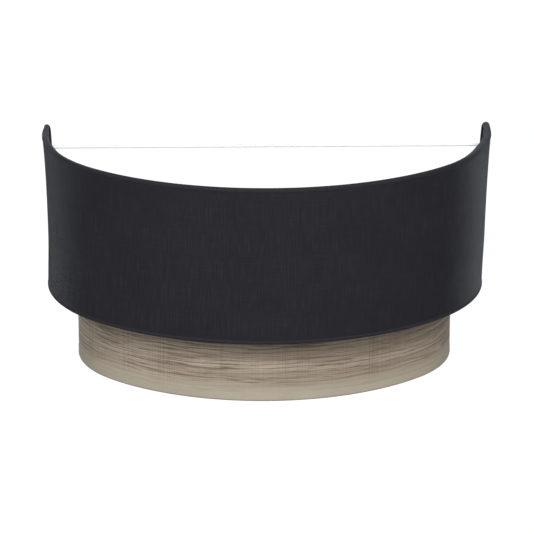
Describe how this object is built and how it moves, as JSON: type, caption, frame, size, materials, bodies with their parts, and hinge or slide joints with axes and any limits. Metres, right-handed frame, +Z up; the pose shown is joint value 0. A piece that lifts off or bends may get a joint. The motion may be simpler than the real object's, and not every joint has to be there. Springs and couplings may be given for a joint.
{
  "type": "wall lamp",
  "caption": "Half-round wall lamp: a dark fabric band over a narrower wood veneer band, open at the top, bottom and back.",
  "frame": {"origin": "on the wall, halfway between the two wall screw slots of the wall plate", "axes": "+Z up, +Y into the wall, +X to the right of someone who faces the lamp"},
  "size_m": [0.3518, 0.1909, 0.1835],
  "materials": {
    "black_glass": "gloss",
    "black_rubber": "matt",
    "block_plastic": "matt",
    "board": "matt",
    "brass": "bright",
    "cap_metal": "bright",
    "dark_fabric": "matt woven cloth",
    "earth_sleeve": "matt",
    "edge_fabric": "matt woven tape",
    "live_sleeve": "matt",
    "neutral_sleeve": "matt",
    "opal_globe": "frosted",
    "veneer_edge": "matt",
    "white_ceramic": "glazed",
    "white_lining": "matt",
    "white_plastic": "semi gloss",
    "white_steel": "satin",
    "white_wire": "satin",
    "wood_veneer": "matt, open grain",
    "zinc_steel": "zinc plated"
  },
  "bodies": {
    "wall_unit": {"arm_collar": "white_steel", "arm_nut": "zinc_steel", "arm_tube": "white_steel", "arm_washer": "zinc_steel", "cable_bush": "black_rubber", "canopy": "white_steel", "canopy_screws": "white_steel", "earth_lead": "earth_sleeve", "earth_screw": "brass", "earth_tag": "brass", "holder_centre_contact": "brass", "holder_dome": "white_plastic", "holder_insert": "white_ceramic", "holder_lock_screw": "zinc_steel", "holder_side_contact": "brass", "holder_skirt": "white_plastic", "holder_sleeve": "brass", "holder_terminal_screws": "zinc_steel", "holder_terminals": "brass", "live_lead": "live_sleeve", "neutral_lead": "neutral_sleeve", "terminal_block": "block_plastic", "terminal_block_screw": "zinc_steel", "terminal_screws": "zinc_steel", "terminal_tubes": "brass", "wall_plate": "zinc_steel"},
    "shade": {"hanging_wire": "white_wire", "inner_bottom_trim": "veneer_edge", "inner_bottom_wire": "white_wire", "inner_left_end_trim": "veneer_edge", "inner_left_post": "white_wire", "inner_liner": "white_lining", "inner_right_end_trim": "veneer_edge", "inner_right_post": "white_wire", "inner_top_trim": "veneer_edge", "inner_top_wire": "white_wire", "inner_veneer": "wood_veneer", "outer_bottom_trim": "edge_fabric", "outer_bottom_wire": "white_wire", "outer_fabric": "dark_fabric", "outer_left_end_trim": "edge_fabric", "outer_left_post": "white_wire", "outer_liner": "white_lining", "outer_right_end_trim": "edge_fabric", "outer_right_post": "white_wire", "outer_top_trim": "edge_fabric", "outer_top_wire": "white_wire", "spacer_wire_1": "white_wire", "spacer_wire_2": "white_wire", "spacer_wire_3": "white_wire", "spacer_wire_4": "white_wire", "upper_cross_wire": "white_wire"},
    "bulb": {"bulb_board": "board", "bulb_cap": "cap_metal", "bulb_globe": "opal_globe", "bulb_housing": "white_plastic", "bulb_insulator": "black_glass", "bulb_tip": "cap_metal"}
  },
  "joints": [
    {"name": "shade_lift", "type": "slide", "parent": "wall_unit", "child": "shade", "axis": [0, 0, 1], "range_m": [0, 0.15]},
    {"name": "bulb_out", "type": "slide", "parent": "wall_unit", "child": "bulb", "axis": [0, 0, 1], "range_m": [0, 0.12]}
  ]
}
